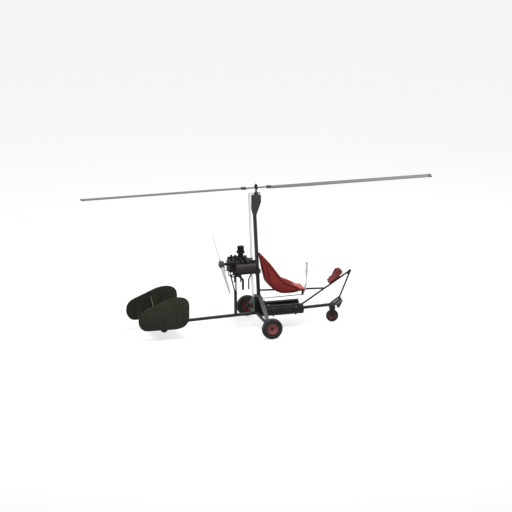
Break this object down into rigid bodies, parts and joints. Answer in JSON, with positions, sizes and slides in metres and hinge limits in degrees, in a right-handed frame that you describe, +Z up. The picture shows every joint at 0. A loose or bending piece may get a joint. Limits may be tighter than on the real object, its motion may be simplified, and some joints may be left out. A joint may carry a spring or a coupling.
{
  "type": "gyrocopter",
  "caption": "Open-frame single-seat gyrocopter with a two-blade teetering rotor, pusher propeller, flat engine, twin tail fins and a steered nose wheel.",
  "frame": {"origin": "on the ground, straight below the rotor hub, which is the middle of the box's floor", "axes": "+X forwards along the craft, +Y to port, +Z up; the rotor is parked 1.69 degrees off the X axis"},
  "size_m": [6.9998, 1.816, 2.893],
  "materials": {
    "frame_grey": "satin",
    "head_grey": "satin",
    "bracket_grey": "satin",
    "control_black": "satin",
    "fork_black": "satin",
    "tube_grey": "satin",
    "seat_red": "satin",
    "pedal_red": "satin",
    "rim_red": "satin",
    "tyre_black": "matte",
    "tank_black": "satin",
    "engine_grey": "satin",
    "cover_brown": "satin",
    "filter_black": "matte",
    "exhaust_black": "matte",
    "tail_olive": "satin",
    "strut_olive": "satin",
    "propeller_grey": "satin",
    "steel_dark": "satin",
    "blade_grey": "satin"
  },
  "bodies": {
    "airframe": {"keel_tube": "frame_grey", "mast_tube": "frame_grey", "mast_foot_web": "frame_grey", "mast_head_cheeks": "head_grey", "control_mixer": "control_black", "nose_diagonal": "tube_grey", "front_tube": "tube_grey", "nose_gussets": "bracket_grey", "seat_tube": "tube_grey", "seat_tub": "seat_red", "fuel_tanks": "tank_black", "tank_saddles": "bracket_grey", "main_axles": "bracket_grey", "gear_legs": "bracket_grey", "gear_braces": "bracket_grey", "tail_fork": "bracket_grey", "crankcase": "engine_grey", "cylinder_barrels": "engine_grey", "cylinder_heads": "engine_grey", "rocker_covers": "cover_brown", "carburettor": "engine_grey", "air_filter": "filter_black", "intake_pipes": "engine_grey", "magneto": "engine_grey", "exhaust_stubs": "exhaust_black", "mast_clamp": "frame_grey", "engine_bearers": "frame_grey", "engine_post": "frame_grey", "stabiliser": "tail_olive", "fin_left": "tail_olive", "fin_right": "tail_olive", "fin_struts": "strut_olive", "pedal_cross_tubes": "frame_grey", "pedals": "pedal_red", "control_stick": "control_black", "stick_bracket": "control_black"},
    "wheel_left": {"main_tyre_left": "tyre_black", "main_rim_left": "rim_red"},
    "wheel_right": {"main_tyre_right": "tyre_black", "main_rim_right": "rim_red"},
    "nose_fork": {"nose_fork": "fork_black"},
    "nose_wheel": {"nose_tyre": "tyre_black", "nose_rim": "rim_red"},
    "tail_wheel": {"tail_wheel": "tyre_black"},
    "propeller": {"propeller": "propeller_grey", "propeller_flange": "steel_dark"},
    "rudder_left": {"rudder_left": "tail_olive"},
    "rudder_right": {"rudder_right": "tail_olive"},
    "gimbal": {"gimbal_block": "head_grey"},
    "torque_head": {"torque_bar": "head_grey"},
    "rod_yoke": {"rod_yoke": "head_grey"},
    "push_rods": {"push_rods": "control_black"},
    "rotor_tower": {"rotor_tower": "steel_dark"},
    "rotor": {"hub_bar": "steel_dark", "rotor_blade_front": "blade_grey", "rotor_blade_rear": "blade_grey", "root_straps": "steel_dark"}
  },
  "joints": [
    {"name": "wheel_left_spin", "type": "hinge", "parent": "airframe", "child": "wheel_left", "pos_m": [0.072, 0.858, 0.205], "axis": [0, 1, 0], "continuous": true},
    {"name": "wheel_right_spin", "type": "hinge", "parent": "airframe", "child": "wheel_right", "pos_m": [0.072, -0.858, 0.205], "axis": [0, 1, 0], "continuous": true},
    {"name": "nose_steer", "type": "hinge", "parent": "airframe", "child": "nose_fork", "pos_m": [1.537, 0, 0.3], "axis": [0, 0, 1], "range_deg": [-30, 30]},
    {"name": "nose_wheel_spin", "type": "hinge", "parent": "nose_fork", "child": "nose_wheel", "pos_m": [1.537, 0, 0.12], "axis": [0, 1, 0], "continuous": true},
    {"name": "tail_wheel_spin", "type": "hinge", "parent": "airframe", "child": "tail_wheel", "pos_m": [-1.855, 0, 0.128], "axis": [0, 1, 0], "continuous": true},
    {"name": "propeller_spin", "type": "hinge", "parent": "airframe", "child": "propeller", "pos_m": [-0.703, 0, 1.329], "axis": [1, 0, 0], "continuous": true},
    {"name": "rudder_left_swing", "type": "hinge", "parent": "airframe", "child": "rudder_left", "pos_m": [-2.12, 0.42, 0.5], "axis": [0, 0, 1], "range_deg": [-25, 25]},
    {"name": "rudder_right_swing", "type": "hinge", "parent": "airframe", "child": "rudder_right", "pos_m": [-2.12, -0.42, 0.5], "axis": [0, 0, 1], "range_deg": [-25, 25]},
    {"name": "head_pitch", "type": "hinge", "parent": "airframe", "child": "gimbal", "pos_m": [0, 0, 2.64], "axis": [0, 1, 0], "range_deg": [-9, 9]},
    {"name": "head_roll", "type": "hinge", "parent": "gimbal", "child": "torque_head", "pos_m": [0, 0, 2.684], "axis": [1, 0, 0], "range_deg": [-9, 9]},
    {"name": "rod_yoke_roll", "type": "hinge", "parent": "torque_head", "child": "rod_yoke", "pos_m": [-0.14, 0, 2.708], "axis": [1, 0, 0], "range_deg": [-9, 9]},
    {"name": "push_rods_pitch", "type": "hinge", "parent": "rod_yoke", "child": "push_rods", "pos_m": [-0.14, 0, 2.682], "axis": [0, 1, 0], "range_deg": [-9, 9]},
    {"name": "rotor_spin", "type": "hinge", "parent": "torque_head", "child": "rotor_tower", "pos_m": [0, 0, 2.76], "axis": [0, 0, 1], "continuous": true},
    {"name": "rotor_teeter", "type": "hinge", "parent": "rotor_tower", "child": "rotor", "pos_m": [0, 0, 2.84], "axis": [0.0295, 0.9996, 0], "range_deg": [-8, 8]}
  ],
  "couplings": [
    {"joint": "rudder_right_swing", "follows": "rudder_left_swing", "ratio": 1},
    {"joint": "rod_yoke_roll", "follows": "head_roll", "ratio": -1},
    {"joint": "push_rods_pitch", "follows": "head_pitch", "ratio": -1}
  ]
}
